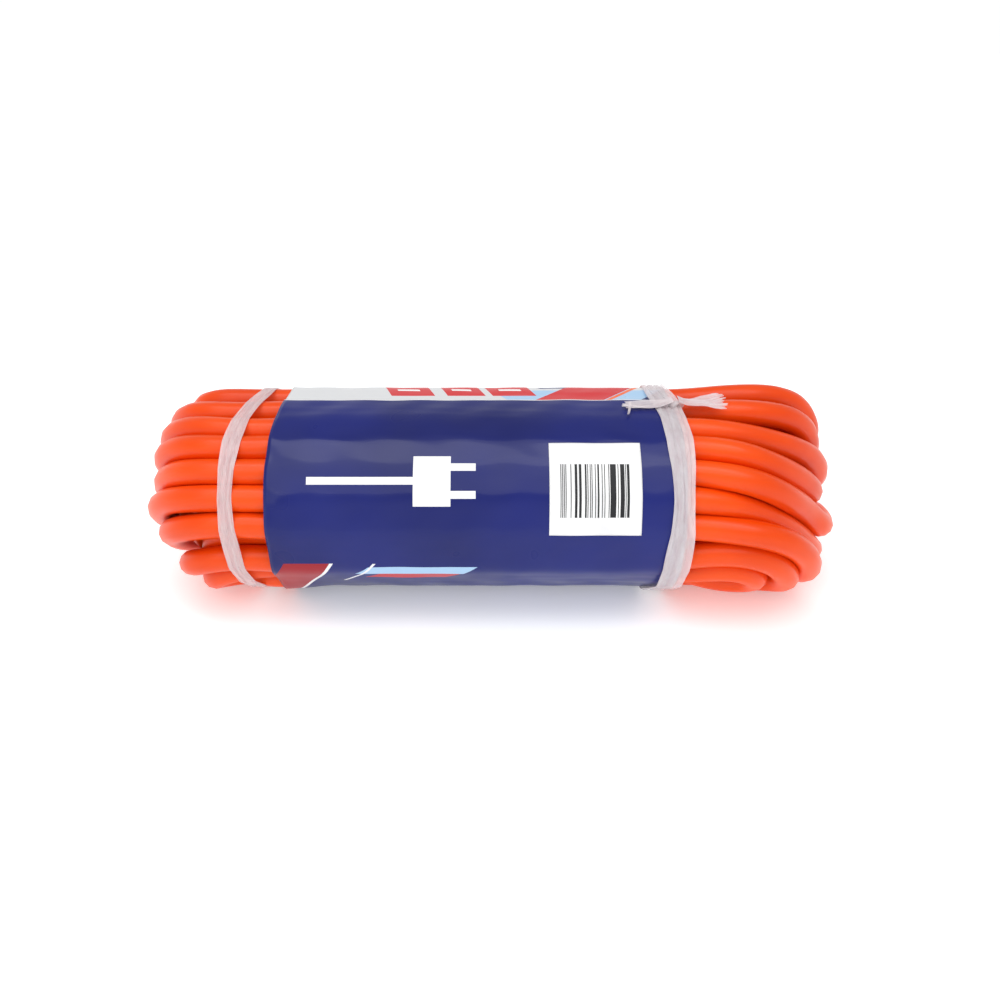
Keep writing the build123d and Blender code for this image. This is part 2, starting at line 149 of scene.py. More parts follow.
# ---- how the sleeve and the tapes lie ----
LAP_EDGE = -3.0             # where the sleeve's outer edge lies, round the outline from the top's middle
LAP_WIDTH = 23.0            # how much of the sleeve lies twofold
CARD_LIFT = 0.75            # from what the card lies on to its outer face
UNDER_LAP = (14.0, 12.0)    # how far before the lap the card dips under it, and over what length
UNDER_DIP = 0.45            # how far down it goes there
EDGE_CURL = 0.25            # how far the cut edges wave, and over what width
EDGE_WIDTH = 5.0
CREASE_DEPTH = 0.12
STICKER_LIFT = 0.85         # from what the card lies on to the label's inner face
STICKER_THICKNESS = 0.15
WRAP_WINDOW = 4.0           # how far to either side the cord holds a wrap out
WRAP_ANGLES = 240
BAND_THICKNESS = 0.18
TAIL_THICKNESS = 0.16
TAIL_LIFT = 0.5             # from what a loose end lies on to its middle
TAIL_RISE = 2.2             # how much higher it leaves its knot
# Each turn of tape in a knot: its place along the knot and its girth as shares of the knot, and its lean.
KNOT_TURNS = ((-0.25, 1.0, 35.0), (0.2, 0.95, -30.0), (0.0, 0.8, 85.0))
WELD = 0.02                 # points nearer than this are one


# ---- the cord's line ----
def ease(value):
    """0 up to 1 with a soft start and a soft end."""
    value = np.clip(value, 0.0, 1.0)
    return value * value * (3 - 2 * value)


def fanned(x, movement):
    """How far a movement has gone at x: 0 where it starts, 1 once it is over."""
    start, length = movement
    return ease((x - start) / length)


def section_place(across, height):
    """(v, u) of a point that lies across along a row and height up the stack of rows.

    It mirrors the section, so the same step takes (v, u) back to (across, height).
    """
    tilt = radians(bpy.context.scene.cord_sizes.row_tilt)
    return -cos(tilt) * across + sin(tilt) * height, sin(tilt) * across + cos(tilt) * height


def row_span(height, centre_radius):
    """The first and last place along a row where a strand's centre fits in the tied bundle."""
    across = np.linspace(-60.0, 60.0, 2401)     # from well outside to well outside, by 0.05
    v, u = section_place(across, height)
    fits = np.hypot(np.maximum(abs(v) - HALF_FLAT, 0), u) <= centre_radius
    return across[fits][0], across[fits][-1]


def lead_line(route, jacket_x):
    """The lead from its jacket's end in the head to where it starts to turn back into the hank."""
    wedge_u = WEDGE_Z - AXIS_Z
    diameter = bpy.context.scene.cord_sizes.jacket_diameter / MM
    reach = SLEEVE_RADIUS + WEDGE_GAP + diameter / 2
    wedge_v = HALF_FLAT + sqrt(reach**2 - wedge_u**2)
    points = [(jacket_x, HEAD_V, HEAD_U)]
    for x, inward, down in route:
        points.append((x, HEAD_V + inward * (wedge_v - HEAD_V), HEAD_U + down * (wedge_u - HEAD_U)))
    return np.array(points)


def evenly(points, spacing):
    """The same line with its points an even distance apart."""
    steps = np.linalg.norm(np.diff(points, axis=0), axis=1)
    along = np.concatenate([[0.0], np.cumsum(steps)])
    places = np.linspace(0.0, along[-1], int(round(along[-1] / spacing)) + 1)
    return np.stack([np.interp(places, along, points[:, i]) for i in range(points.shape[1])], axis=1)


def cord_curve(name, points, resolution):
    """A curve of one smooth open spline with these points as its control points."""
    curve = bpy.data.curves.new(name, "CURVE")
    curve.dimensions = "3D"
    spline = curve.splines.new("NURBS")
    spline.points.add(len(points) - 1)
    spline.points.foreach_set("co", np.column_stack([points, np.ones(len(points))]).ravel())
    spline.order_u = 3
    spline.use_endpoint_u = True
    spline.resolution_u = resolution
    return curve


def spline_line(points):
    """The places along the smooth spline that a route's points make."""
    curve = cord_curve("route", points, 12)
    holder = bpy.data.objects.new("route", curve)
    mesh = bpy.data.meshes.new_from_object(holder)
    places = np.empty(len(mesh.vertices) * 3)
    mesh.vertices.foreach_get("co", places)
    bpy.data.objects.remove(holder)
    bpy.data.curves.remove(curve)
    bpy.data.meshes.remove(mesh)
    return places.reshape(-1, 3)


def wind_hank():
    """Every turn in its place, before the turns have settled against each other.

    Gives the points as (x, v, u), which belong to the leads and keep still, and both leads' routes.
    """
    sizes = bpy.context.scene.cord_sizes
    diameter = sizes.jacket_diameter / MM
    chance = np.random.default_rng(sizes.seed)
    centre_radius = TIED_RADIUS - diameter / 2
    heights = (np.arange(ROWS) - (ROWS - 1) / 2) * sizes.row_pitch
    spans = [row_span(height, centre_radius) for height in heights]
    plug_lead = lead_line(PLUG_LEAD, plug_high[0] - JACKET_START)
    connector_lead = lead_line(CONNECTOR_LEAD, connector_low[0] + JACKET_START)
    line = []

    def put(x, across, height, middle, half, row):
        """Adds one point. Past the right tie each turn sags, and its far side slides down.

        middle and half are of the row there: its middle, and half its width at the right end.
        """
        v, u = section_place(across, height)
        slid = RIGHT_SAGS[row] * fanned(x, SAGGING)
        slid += RIGHT_DROPS[row] * fanned(x, SLIDING) * (0.5 - 0.5 * (across - middle) / half)
        line.append((x, v, u - slid))

    def run(x_from, x_to, across, height, side, middle, half, row):
        """One length of cord from end to end, which sways a little and spreads past the ties."""
        sway = chance.uniform(-RUN_SWAY, RUN_SWAY, 2)
        for x in np.linspace(x_from, x_to, RUN_POINTS)[1:-1]:
            spread = RIGHT_SPREADS[row] * fanned(x, SPREADING) + LEFT_WIDENING * fanned(-x, WIDENING)
            wave = sin(pi * (x - x_from) / (x_to - x_from))
            put(x, across + side * spread + sway[0] * wave, height + sway[1] * wave, middle, half, row)

    def turn_back(sign, start, end, tip, middle, half, row):
        """Half a turn at one end, from (across, height) to (across, height). Gives the x of its ends."""
        radius = abs(start[0] - end[0]) / 2
        centre = (start[0] + end[0]) / 2
        for angle in np.linspace(0.0, pi, FOLD_POINTS):
            x = sign * (tip - radius + radius * sin(angle))
            across = centre + (start[0] - centre) * cos(angle)
            height = start[1] + (end[1] - start[1]) * ease(angle / pi)
            put(x, across, height, middle, half, row)
        return sign * (tip - radius)

    def places(turn):
        """Where a turn's front and back runs lie along its row, and how high the row is."""
        row, level = turn
        low, high = spans[row]
        return high - level * diameter, low + level * diameter, heights[row]

    lead_place = section_place(*plug_lead[-1][1:])
    first_front, _, first_height = places(TURNS[0])
    start_x = turn_back(
        -1, lead_place, (first_front + LEFT_WIDENING, first_height), LEFT_TIPS[TURNS[0][0]], 0.0, 1.0, 0
    )
    for number, (row, level) in enumerate(TURNS):
        front, back, height = places((row, level))
        middle = (front + back) / 2
        outer_front, outer_back, _ = places((row, 0))
        spread = RIGHT_SPREADS[row]
        half = (outer_front - outer_back) / 2 + spread
        tip = RIGHT_TIPS[row] - level * diameter - chance.uniform(0.0, RIGHT_UNEVENNESS) * (level > 0)
        last = number == len(TURNS) - 1
        far = lead_place if last else (back - spread, height)
        radius = (front + spread - far[0]) / 2
        run(start_x, tip - radius, front, height, 1, middle, half, row)
        end_x = turn_back(1, (front + spread, height), far, tip, middle, half, row)
        if last:
            break
        next_row, next_level = TURNS[number + 1]
        next_front, _, next_height = places((next_row, next_level))
        mean_level = (level + next_level) / 2
        left_tip = (LEFT_TIPS[row] + LEFT_TIPS[next_row]) / 2 - mean_level * diameter
        left_tip -= chance.uniform(0.0, LEFT_UNEVENNESS) * (mean_level > 0)
        radius = (next_front + LEFT_WIDENING - back + LEFT_WIDENING) / 2
        run(end_x, -(left_tip - radius), back, height, -1, middle, half, row)
        start_x = turn_back(
            -1, (back - LEFT_WIDENING, height), (next_front + LEFT_WIDENING, next_height),
            left_tip, middle, half, row,
        )

    spacing = diameter / 2      # as settling keeps it
    turns = evenly(np.array(line), spacing)
    connector_lead = connector_lead[::-1]
    plug_line = evenly(spline_line(np.vstack([plug_lead, turns[:1]])), spacing)
    connector_line = evenly(spline_line(np.vstack([turns[-1:], connector_lead])), spacing)
    points = np.vstack([plug_line[:-1], turns, connector_line[1:]])
    still = np.zeros(len(points), bool)
    still[: len(plug_line)] = True
    still[-len(connector_line):] = True
    return points, still, plug_lead, connector_lead


def near_pairs(points, reach):
    """Pairs of points of the line closer than reach, leaving out those close along the line."""
    light = points.astype(np.float32)
    squares = (light**2).sum(1)
    apart = squares[:, None] + squares[None, :] - 2 * light @ light.T
    first, second = np.nonzero(np.triu(apart < reach**2, NEIGHBOURS))
    return first, second


def keep_inside(points, held, diameter):
    """Moves points that have left the bundle's outer shape back on to it."""
    x = points[:, 0]
    left = np.clip((x - LEFT_SPREAD[0]) / (LEFT_SPREAD[1] - LEFT_SPREAD[0]), 0, 1)
    right = np.clip((x - RIGHT_SPREAD[0]) / (RIGHT_SPREAD[1] - RIGHT_SPREAD[0]), 0, 1)
    radius = TIED_RADIUS + left * (LEFT_RADIUS - TIED_RADIUS) + right * (RIGHT_RADIUS - TIED_RADIUS)
    centre_u = left * (LEFT_RADIUS - AXIS_Z) + right * (RIGHT_RADIUS - AXIS_Z)
    radius = radius - diameter / 2
    end = hank_high[0] - diameter / 2
    rounding = END_ROUNDING - diameter / 2
    past = np.clip(abs(x) - (end - rounding), 0, rounding)
    radius = radius - (rounding - np.sqrt(rounding**2 - past**2))
    side = np.clip(points[:, 1], -HALF_FLAT, HALF_FLAT)
    out_v = points[:, 1] - side
    out_u = points[:, 2] - centre_u
    reach = np.hypot(out_v, out_u)
    scale = np.where(held & (reach > radius), radius / np.maximum(reach, 0.001), 1.0)
    points[:, 1] = side + out_v * scale
    points[:, 2] = centre_u + out_u * scale
    points[:, 0] = np.clip(x, -end, end)
    np.maximum(points[:, 2], diameter / 2 - AXIS_Z, out=points[:, 2])


def press_apart(points, first, second, diameter, mobile):
    """Moves points that are closer than a diameter away from each other."""
    counts = np.bincount(first, minlength=len(points)) + np.bincount(second, minlength=len(points))
    share = 1.0 / np.maximum(counts, 1)
    gap = points[second] - points[first]
    distance = np.maximum(np.linalg.norm(gap, axis=1), 0.01)
    push = gap * (np.maximum(diameter - distance, 0) / distance / 2)[:, None]
    move = np.stack([
        np.bincount(second, push[:, i], len(points)) - np.bincount(first, push[:, i], len(points))
        for i in range(3)
    ], axis=1)
    points += move * np.minimum(1.0, share * MOST_PRESSES)[:, None] * mobile * PRESSING


def straighten(points, mobile):
    """Eases sharp changes of bend, by each point's two neighbours on either side."""
    bend = np.zeros_like(points)
    bend[2:-2] = (points[:-4] + points[4:] - 4 * (points[1:-3] + points[3:-1]) + 6 * points[2:-2]) / 16
    points -= bend * mobile * STRAIGHTENING


def unfold(points, diameter, mobile):
    """Opens the folds that are narrower than the cord can lie."""
    for reach, width in FOLD_WIDTHS:
        chord = points[2 * reach:] - points[:-2 * reach]
        span = np.maximum(np.linalg.norm(chord, axis=1), 0.01)
        part = chord * (np.maximum(width * diameter - span, 0) / span / 2)[:, None] * UNFOLDING
        points[2 * reach:] += part * mobile[2 * reach:]
        points[:-2 * reach] -= part * mobile[:-2 * reach]


def keep_length(points, spacing, mobile):
    """Brings neighbours along the line back to their distance, every other pair and then the rest."""
    for offset in (0, 1):
        link = points[offset + 1::2] - points[offset:-1:2][: len(points[offset + 1::2])]
        length = np.maximum(np.linalg.norm(link, axis=1), 0.01)
        fix = link * ((length - spacing) / length / 2)[:, None] * SPACING
        starts = np.arange(offset, offset + 2 * len(link), 2)
        points[starts] += fix * mobile[starts]
        points[starts + 1] -= fix * mobile[starts + 1]


def settle_hank():
    """The cord's line once its turns have pressed each other apart, as points (x, v, u) a step apart.

    Also gives the spline's control points: each lead's route as it is, and every point of the turns.
    """
    sizes = bpy.context.scene.cord_sizes
    diameter = sizes.jacket_diameter / MM
    points, still, plug_lead, connector_lead = wind_hank()
    home = points.copy()
    held = np.zeros(len(points), bool)
    held[still.argmin() + LEAD_SLACK: len(points) - still[::-1].argmin() - LEAD_SLACK] = True
    mobile = (~still)[:, None].astype(float)
    for step in range(sizes.settling_steps):
        if step % SEARCH_EVERY == 0:
            first, second = near_pairs(points, diameter * SEARCH_REACH)
        press_apart(points, first, second, diameter, mobile)
        straighten(points, mobile)
        unfold(points, diameter, mobile)
        keep_length(points, diameter / 2, mobile)
        points += (home - points) * HOMING * mobile
        keep_inside(points, held, diameter)
    for _ in range(3):
        points[1:-1] = points[1:-1] / 2 + (points[:-2] + points[2:]) / 4
    turns = np.flatnonzero(~still)
    return points, np.vstack([plug_lead, points[turns[0] - 1:turns[-1] + 2], connector_lead])


def to_metres(points):
    """Places in the bundle, (x, v, u), as x, y and z in metres."""
    return (np.asarray(points) + np.array([0.0, AXIS_Y, AXIS_Z])) * MM


def wrap_reach(points, x, directions, discs=(), leads=True):
    """How far a ribbon pulled tight round the cord at x reaches from the axis, in each direction.

    A direction is an angle from +v (back) towards +u (up). discs are (v, u, radius) to go round too.
    Where leads is false, it passes between the leads and the bundle.
    """
    radius = bpy.context.scene.cord_sizes.jacket_diameter / MM / 2
    near = points[abs(points[:, 0] - x) < WRAP_WINDOW][:, 1:]
    if not leads:
        near = near[np.hypot(np.maximum(abs(near[:, 0]) - HALF_FLAT, 0), near[:, 1]) < TIED_RADIUS]
    circles = np.array([(v, u, radius) for v, u in near] + list(discs))
    normals = np.linspace(0, 2 * pi, WRAP_ANGLES, endpoint=False)
    support = circles[:, :2] @ np.stack([np.cos(normals), np.sin(normals)]) + circles[:, 2:]
    support = support.max(0)
    facing = np.cos(directions[:, None] - normals[None, :])
    return np.where(facing > 0.1, support / np.maximum(facing, 0.1), 1e6).min(1)


def bundle_direction(distance, radius):
    """The angle at which a point lies that is this far round the bundle's outline.

    The distance starts at the middle of the top and runs over the front, underneath and up the back.
    The second half of the outline is the first half turned round.
    """
    flat = 2 * HALF_FLAT
    halves, place = np.divmod(distance + HALF_FLAT, flat + pi * radius)
    angle = np.maximum(place - flat, 0) / radius
    side = 1 - 2 * (halves % 2)
    v = HALF_FLAT - np.minimum(place, flat) - radius * np.sin(angle)
    return np.arctan2(side * radius * np.cos(angle), side * v)


# ---- making pieces ----
def finish_piece(piece, material, replaced=()):
    """Gives a piece its material, its body and the CAD nodes that it stands for."""
    piece.data.materials.clear()
    piece.data.materials.append(material)
    if replaced:
        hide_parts(*replaced)
    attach(piece, BODY)


def grid_sheet(name, columns, rows, place):
    """A grid whose points go where place says, with the grid's own UV map.

    place takes how far each point is across the columns and along the rows, from 0 to 1, and gives
    its (x, v, u). Both are arrays.
    """
    bpy.ops.object.select_all(action="DESELECT")
    bpy.ops.mesh.primitive_grid_add(x_subdivisions=columns, y_subdivisions=rows, size=1.0)
    piece = bpy.context.object
    piece.name = name
    piece.data.name = name
    count = len(piece.data.vertices)
    flat = np.empty(count * 3)
    piece.data.vertices.foreach_get("co", flat)
    flat = flat.reshape(-1, 3)
    placed = to_metres(place(flat[:, 0] + 0.5, flat[:, 1] + 0.5))
    piece.data.vertices.foreach_set("co", placed.ravel())
    piece.data.update()
    return piece


def edit_all(operation, **settings):
    """Runs one edit-mode operator on the whole of the active mesh."""
    bpy.ops.object.mode_set(mode="EDIT")
    bpy.ops.mesh.select_all(action="SELECT")
    operation(**settings)
    bpy.ops.object.mode_set(mode="OBJECT")


def apply_modifier(piece, kind, **settings):
    """Adds one modifier with its settings and applies it."""
    modifier = piece.modifiers.new(kind.title(), kind)
    for name, value in settings.items():
        setattr(modifier, name, value)
    bpy.context.view_layer.objects.active = piece
    bpy.ops.object.modifier_apply(modifier=modifier.name)


def join_pieces(pieces, name):
    """Makes one piece of several, smooth but for its sharp edges."""
    bpy.ops.object.select_all(action="DESELECT")
    for piece in pieces:
        piece.select_set(True)
    bpy.context.view_layer.objects.active = pieces[0]
    bpy.ops.object.join()
    joined = bpy.context.object
    joined.name = name
    joined.data.name = name
    bpy.ops.object.shade_smooth_by_angle(angle=radians(40.0))
    return joined


# ---- materials ----
def linear(code):
    """An sRGB hex colour as linear red, green, blue and alpha."""
    channels = [int(code[i:i + 2], 16) / 255 for i in (1, 3, 5)]
    return tuple(c / 12.92 if c <= 0.04045 else ((c + 0.055) / 1.055) ** 2.4 for c in channels) + (1.0,)


def add(tree, kind, sockets=(), **settings):
    """One node, with its settings, its values, and its links where a socket is given."""
    node = tree.nodes.new("ShaderNode" + kind)
    for name, value in settings.items():
        setattr(node, name, value)
    for key, value in dict(sockets).items():
        if isinstance(value, bpy.types.NodeSocket):
            tree.links.new(value, node.inputs[key])
        else:
            node.inputs[key].default_value = value
    return node


def surface(name, **sockets):
    """A material with nothing but its shader. Gives the material, its tree and the shader."""
    material = bpy.data.materials.new(name)
    material.use_nodes = True
    tree = material.node_tree
    tree.nodes.clear()
    shader = add(tree, "BsdfPrincipled", {key.replace("_", " "): value for key, value in sockets.items()})
    add(tree, "OutputMaterial", {"Surface": shader.outputs[0]})
    return material, tree, shader


def mottle(tree, shader, dark, light, size, place, detail=3.0):
    """Colour that drifts between two shades over patches of about this size in millimetres."""
    noise = add(tree, "TexNoise", {"Vector": place, "Scale": 1000.0 / size, "Detail": detail})
    # The noise keeps near its middle, so that part alone is stretched from the one shade to the other.
    ramp = add(tree, "MapRange", {0: noise.outputs["Fac"], 1: 0.35, 2: 0.65})
    mix = add(tree, "Mix", {0: ramp.outputs[0], 6: dark, 7: light}, data_type="RGBA")
    tree.links.new(mix.outputs[2], shader.inputs["Base Color"])
    return mix


def vary_gloss(tree, shader, low, high, size, place):
    """Roughness that drifts between two values over patches of about this size in millimetres."""
    noise = add(tree, "TexNoise", {"Vector": place, "Scale": 1000.0 / size, "Detail": 1.0})
    reach = (high - low) / 2
    ramp = add(tree, "MapRange", {0: noise.outputs["Fac"], 3: low - reach, 4: high + reach}, clamp=False)
    tree.links.new(ramp.outputs[0], shader.inputs["Roughness"])


def roughen(tree, shader, height, size, place, depth, detail=4.0):
    """Bumps of about this size and depth, both in millimetres; height is an output, or None for noise."""
    if height is None:
        noise = add(tree, "TexNoise", {"Vector": place, "Scale": 1000.0 / size, "Detail": detail})
        height = noise.outputs["Fac"]
    bump = add(tree, "Bump", {"Height": height, "Distance": depth * MM, "Strength": 1.0})
    tree.links.new(bump.outputs[0], shader.inputs["Normal"])


def extruded_pvc():
    """Flexible PVC, extruded over the twisted cores: glossy, a little uneven, with a faint drag texture."""
    colours = bpy.context.scene.cord_colours
    material, tree, shader = surface(
        "extruded_orange_pvc", Roughness=0.36, IOR=1.5, Specular_IOR_Level=0.25,
        Coat_Weight=0.1, Coat_Roughness=0.14, Subsurface_Weight=0.05, Subsurface_Scale=0.003,
    )
    shader.inputs["Subsurface Radius"].default_value = (1.0, 0.25, 0.08)
    place = add(tree, "TexCoord").outputs["Object"]
    mottle(tree, shader, colours.jacket_shade, colours.jacket, 40.0, place)
    vary_gloss(tree, shader, 0.3, 0.42, 9.0, place)
    roughen(tree, shader, None, 9.0, place, 0.1, 1.0)
    return material


def moulded_pvc():
    """PVC moulded on to the cord's ends: the jacket's orange, duller, with the mould's fine grain."""
    material, tree, shader = surface("moulded_orange_pvc", Roughness=0.42, IOR=1.53)
    place = add(tree, "TexCoord").outputs["Object"]
    mottle(tree, shader, linear("#DC4A0E"), linear("#EC5816"), 25.0, place)
    vary_gloss(tree, shader, 0.36, 0.52, 3.0, place)
    roughen(tree, shader, None, 0.45, place, 0.04)
    return material


def patch_mask(tree, x, t, x_range, t_range, slant):
    """1 inside a leaning box on the sheet, and 0 outside."""
    middle_t = sum(t_range) / 2
    lean = add(tree, "Math", {0: t, 1: slant, 2: -slant * middle_t}, operation="MULTIPLY_ADD")
    upright = add(tree, "Math", {0: x, 1: lean.outputs[0]}, operation="SUBTRACT")
    half_x = (x_range[1] - x_range[0]) / 2
    half_t = (t_range[1] - t_range[0]) / 2
    in_x = add(tree, "Math", {0: upright.outputs[0], 1: sum(x_range) / 2, 2: half_x}, operation="COMPARE")
    in_t = add(tree, "Math", {0: t, 1: middle_t, 2: half_t}, operation="COMPARE")
    return add(tree, "Math", {0: in_x.outputs[0], 1: in_t.outputs[0]}, operation="MULTIPLY").outputs[0]


# Printed on the sleeve: colour, x range, range of distance from the sheet's outer edge, and lean.
PRINT = (
    ("#D9DADC", (-80.0, 80.0), (214.0, 262.0), 0.0),        # pale panel that shows above the lap
    ("#A9CCEB", (9.0, 80.0), (228.0, 262.0), 0.6),          # sky-blue band across it
    ("#D2232A", (-38.5, -23.0), (222.5, 233.5), 0.35),      # three red tabs
    ("#D2232A", (-18.5, -5.0), (222.5, 233.5), 0.35),
    ("#D2232A", (-2.5, 13.0), (222.5, 233.5), 0.35),
    ("#F4F4F4", (-35.0, -27.0), (227.0, 228.6), 0.35),      # a white stroke on each
    ("#F4F4F4", (-15.5, -8.5), (227.0, 228.6), 0.35),
    ("#F4F4F4", (1.5, 9.5), (227.0, 228.6), 0.35),
    ("#232A66", (13.0, 28.0), (216.0, 226.0), 0.7),         # a small blue patch
    ("#D2232A", (24.0, 48.0), (214.0, 240.0), -0.9),        # a wide red slash with an orange edge
    ("#F26A2E", (48.5, 50.5), (214.0, 240.0), -0.9),
    ("#232A66", (51.0, 80.0), (214.0, 262.0), -0.9),        # and blue beyond it
    ("#FFFFFF", (-80.0, 80.0), (-1.0, 0.5), 0.0),           # the sheet's bare cut edge
    ("#9E1B26", (-80.0, -65.0), (69.0, 105.0), -0.6),       # foot of the panel: a crimson corner
    ("#F0F0F0", (-65.0, -63.8), (69.0, 105.0), -0.6),       # and its white edge
    ("#A9CCEB", (-44.0, -8.0), (70.5, 74.5), -1.2),         # two bars, sky blue over red
    ("#C8262C", (-41.0, -14.0), (74.5, 79.0), -1.2),
    ("#EDEDED", (-46.0, -45.0), (69.0, 84.0), -0.8),        # a thin white slash
    ("#F2F2F2", (-60.0, -26.0), (38.5, 41.0), 0.0),         # a plug in outline: its cord
    ("#F2F2F2", (-26.0, -14.0), (31.5, 48.0), 0.0),         # its body
    ("#F2F2F2", (-14.0, -6.0), (34.0, 36.5), 0.0),          # and its two blades
    ("#F2F2F2", (-14.0, -6.0), (43.0, 45.5), 0.0),
)


def coated_card():
    """Thin card printed in offset inks under a clear coat: sharp edges of colour and a soft gloss."""
    material, tree, shader = surface(
        "gloss_coated_card", Roughness=0.38, IOR=1.48, Specular_IOR_Level=0.15,
        Coat_Weight=0.3, Coat_Roughness=0.12,
    )
    place = add(tree, "TexCoord").outputs["Object"]
    uv = add(tree, "SeparateXYZ", {0: add(tree, "UVMap").outputs[0]})
    width = sleeve_high[0] - sleeve_low[0]
    along = add(tree, "Math", {0: uv.outputs[0], 1: width, 2: sleeve_low[0]}, operation="MULTIPLY_ADD")
    around = add(tree, "Math", {0: uv.outputs[1], 1: sheet_length()}, operation="MULTIPLY")
    ground = bpy.context.scene.cord_colours.sleeve
    ink = mottle(tree, shader, linear("#151D60"), ground, 60.0, place).outputs[2]
    for colour, x_range, t_range, slant in PRINT:
        mask = patch_mask(tree, along.outputs[0], around.outputs[0], x_range, t_range, slant)
        ink = add(tree, "Mix", {0: mask, 6: ink, 7: linear(colour)}, data_type="RGBA").outputs[2]
    tree.links.new(ink, shader.inputs["Base Color"])
    vary_gloss(tree, shader, 0.26, 0.46, 14.0, place)
    stretched = add(tree, "Mapping", {0: place, 3: (0.25, 1.0, 1.0)})     # four times as long as wide
    roughen(tree, shader, None, 9.0, stretched.outputs[0], 0.6, 1.0)
    return material


def label_stock():
    """White self-adhesive paper, matt, with a row of plain uneven stripes that stand for no number.

    Each stripe is about 0.27 mm wide, and dark or white by chance.
    """
    material, tree, shader = surface("white_label_paper", Roughness=0.55, IOR=1.45)
    place = add(tree, "TexCoord").outputs["Object"]
    uv = add(tree, "SeparateXYZ", {0: add(tree, "UVMap").outputs[0]})
    places = add(tree, "Math", {0: uv.outputs[0], 1: 110.0}, operation="MULTIPLY")
    cell = add(tree, "Math", {0: places.outputs[0]}, operation="FLOOR")
    chance = add(tree, "TexWhiteNoise", {"W": cell.outputs[0]}, noise_dimensions="1D")
    dark = add(tree, "Math", {0: chance.outputs[0], 1: 0.52}, operation="GREATER_THAN")
    inside_x = add(tree, "Math", {0: uv.outputs[0], 1: 0.5, 2: 0.39}, operation="COMPARE")
    inside_y = add(tree, "Math", {0: uv.outputs[1], 1: 0.47, 2: 0.28}, operation="COMPARE")
    area = add(tree, "Math", {0: inside_x.outputs[0], 1: inside_y.outputs[0]}, operation="MULTIPLY")
    mask = add(tree, "Math", {0: area.outputs[0], 1: dark.outputs[0]}, operation="MULTIPLY")
    paper = mottle(tree, shader, linear("#E9E9EA"), linear("#F6F6F6"), 12.0, place).outputs[2]
    ink = add(tree, "Mix", {0: mask.outputs[0], 6: paper, 7: linear("#1C1C20")}, data_type="RGBA")
    tree.links.new(ink.outputs[2], shader.inputs["Base Color"])
    roughen(tree, shader, None, 0.8, place, 0.02)
    return material


def split_film():
    """Stretched polypropylene film tape: milky and half clear, split lengthways into fibres."""
    material, tree, shader = surface("fibrous_film_tape", Roughness=0.34, IOR=1.49, Alpha=0.5)
    uv = add(tree, "UVMap").outputs[0]
    # On a band's own map this is streaks about 2 mm wide and 8 mm long, with ever finer ones in them.
    fibres = add(tree, "Mapping", {0: uv, 3: (2.0, 14.0, 1.0)}).outputs[0]
    noise = add(tree, "TexNoise", {"Vector": fibres, "Scale": 2.0, "Detail": 6.0, "Roughness": 0.7})
    ramp = add(tree, "MapRange", {0: noise.outputs["Fac"], 1: 0.35, 2: 0.65})
    mix = add(
        tree, "Mix", {0: ramp.outputs[0], 6: linear("#F0E0E4"), 7: bpy.context.scene.cord_colours.tie},
        data_type="RGBA",
    )
    tree.links.new(mix.outputs[2], shader.inputs["Base Color"])
    roughen(tree, shader, ramp.outputs[0], 1.0, uv, 0.25)
    return material


def black_nylon():
    """Moulded nylon: near black, satin, with a fine spark-eroded grain."""
    material, tree, shader = surface("moulded_black_nylon", Roughness=0.45, IOR=1.53)
    place = add(tree, "TexCoord").outputs["Object"]
    mottle(tree, shader, linear("#101113"), linear("#1B1C1F"), 8.0, place)
    vary_gloss(tree, shader, 0.38, 0.55, 2.0, place)
    roughen(tree, shader, None, 0.4, place, 0.03)
    return material


def metal(name, dark, light, roughness, streak):
    """Rolled or turned metal with a drawn grain along the part."""
    material, tree, shader = surface(name, Metallic=1.0, Roughness=roughness)
    place = add(tree, "TexCoord").outputs["Object"]
    drawn = add(tree, "Mapping", {0: place, 3: (0.06, 1.0, 1.0)}).outputs[0]
    mottle(tree, shader, linear(dark), linear(light), streak, drawn)
    vary_gloss(tree, shader, roughness - 0.08, roughness + 0.12, streak, drawn)
    roughen(tree, shader, None, streak, drawn, 0.02)
    return material


def core_pvc(name, dark, light):
    """Thin PVC extruded over each conductor: softly glossy, almost smooth."""
    material, tree, shader = surface(name, Roughness=0.35, IOR=1.53)
    place = add(tree, "TexCoord").outputs["Object"]
    mottle(tree, shader, linear(dark), linear(light), 5.0, place)
    roughen(tree, shader, None, 1.0, place, 0.03)
    return material


def lit_acrylic():
    """Cast acrylic sheet, white and matt, faintly lit from below, so that the shadow on it stays pale."""
    material, tree, shader = surface(
        "white_acrylic_table", Roughness=0.6, Emission_Color=(1.0, 1.0, 1.0, 1.0), Emission_Strength=0.28,
    )
    place = add(tree, "TexCoord").outputs["Object"]
    mottle(tree, shader, linear("#F8FBFC"), linear("#FBFDFE"), 400.0, place)
    return material


# ---- properties ----
class CordSizes(bpy.types.PropertyGroup):
    jacket_diameter: FloatProperty(
        name="Jacket diameter", description="Across the cord", default=0.009, unit="LENGTH"
    )
    row_pitch: FloatProperty(
        name="Row pitch", description="Between rows of turns, in millimetres", default=8.7
    )
    row_tilt: FloatProperty(
        name="Row tilt", description="How far each row rises towards the front, in degrees", default=45.0
    )
    settling_steps: IntProperty(
        name="Settling steps", description="How long the turns press each other apart", default=260, min=1
    )
    seed: IntProperty(name="Seed", description="Picks the small unevenness of the turns", default=7)
    sleeve_thickness: FloatProperty(
        name="Sleeve thickness", description="Of the printed card", default=0.00035, unit="LENGTH"
    )
    camera_distance: FloatProperty(
        name="Camera distance", description="From the bundle's axis", default=0.293, unit="LENGTH"
    )
    camera_height: FloatProperty(
        name="Camera height", description="Angle above level", default=radians(30), subtype="ANGLE"
    )


